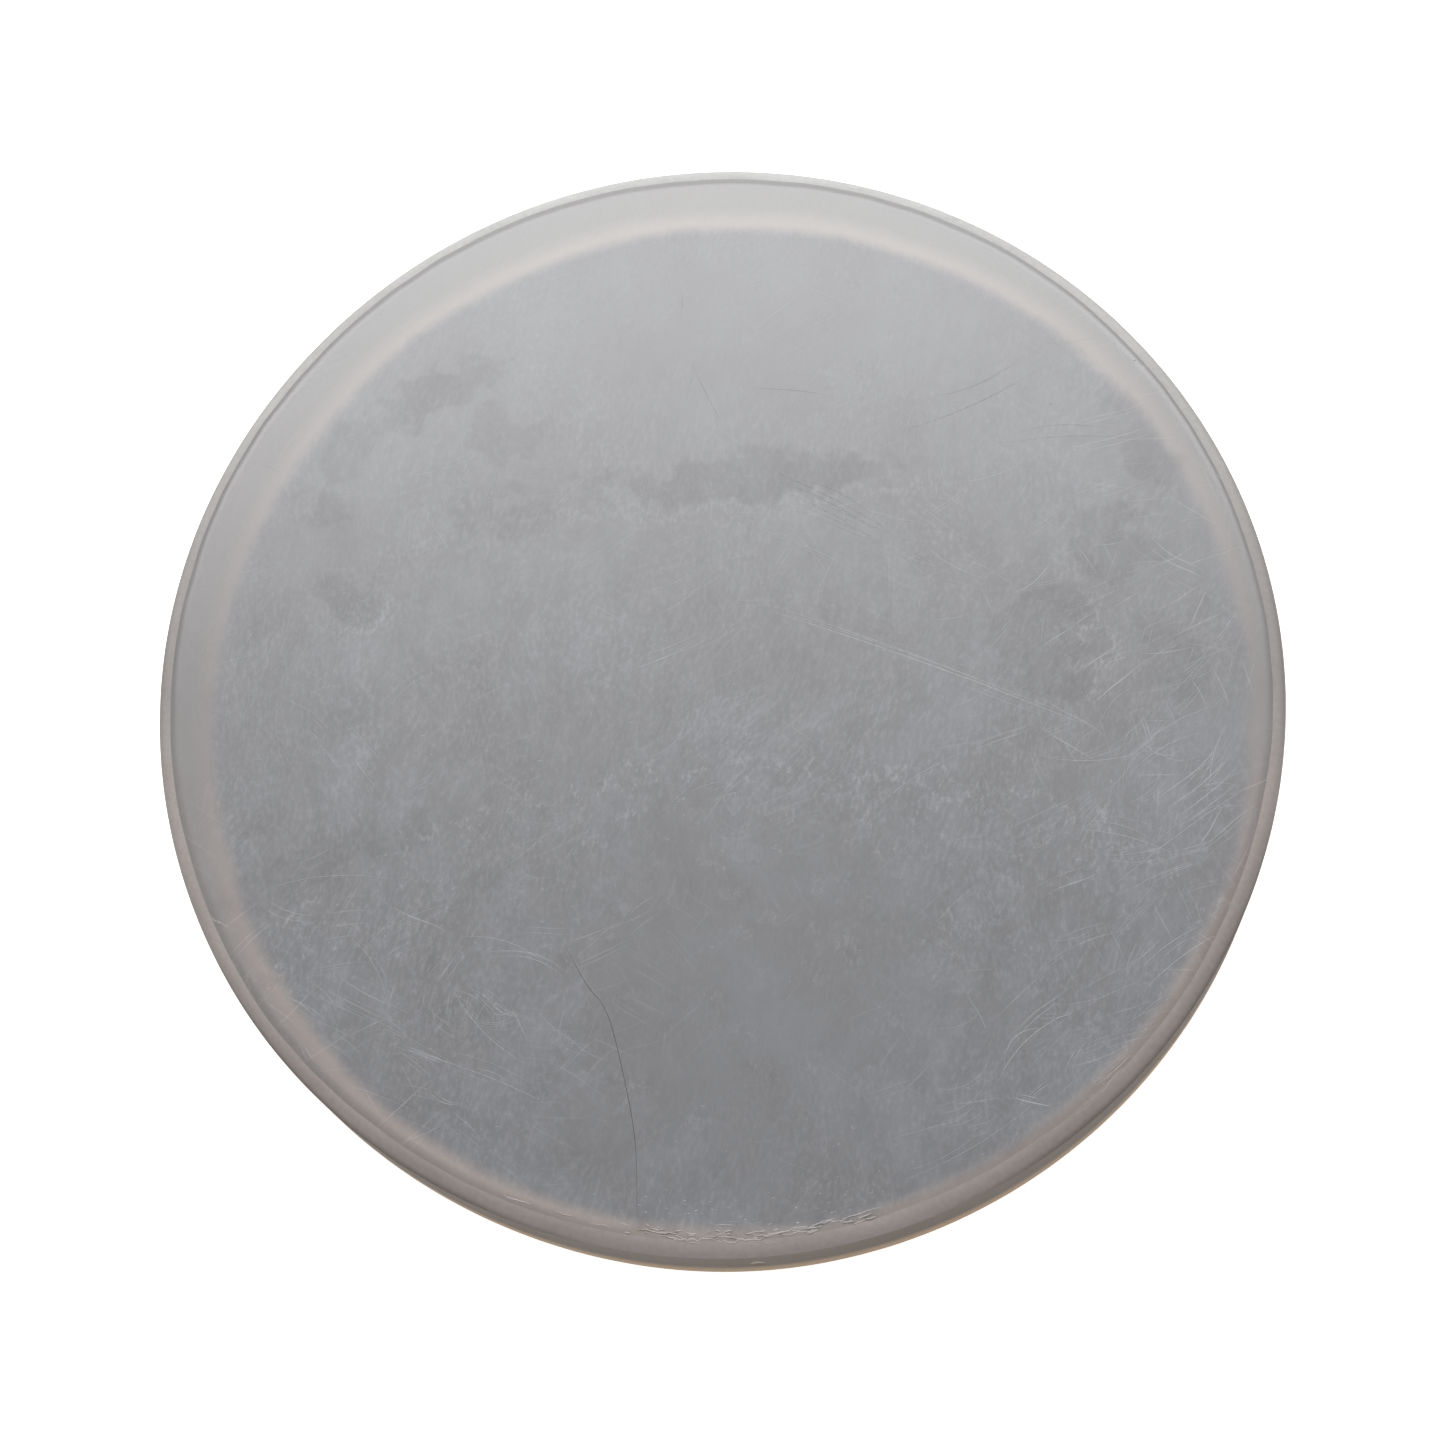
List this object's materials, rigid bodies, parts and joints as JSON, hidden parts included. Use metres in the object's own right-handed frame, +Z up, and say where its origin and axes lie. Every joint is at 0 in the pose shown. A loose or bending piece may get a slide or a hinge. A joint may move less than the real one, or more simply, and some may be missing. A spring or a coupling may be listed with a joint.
{
  "type": "circle template",
  "caption": "Thick round disc of milky translucent plastic with softly rounded edges, laid on paper and drawn around as a circle template.",
  "frame": {"origin": "centre of the flat underside that rests on the paper", "axes": "+Z up along the disc's axis, out of the upper face; +X and +Y lie in the underside, and any turn about +Z gives the same shape"},
  "size_m": [0.1, 0.1, 0.013],
  "materials": {
    "milky_plastic": "milky translucent plastic, satin, with fine scratches and a pale warm edge"
  },
  "bodies": {
    "root": {"template_disc": "milky_plastic"}
  },
  "joints": []
}
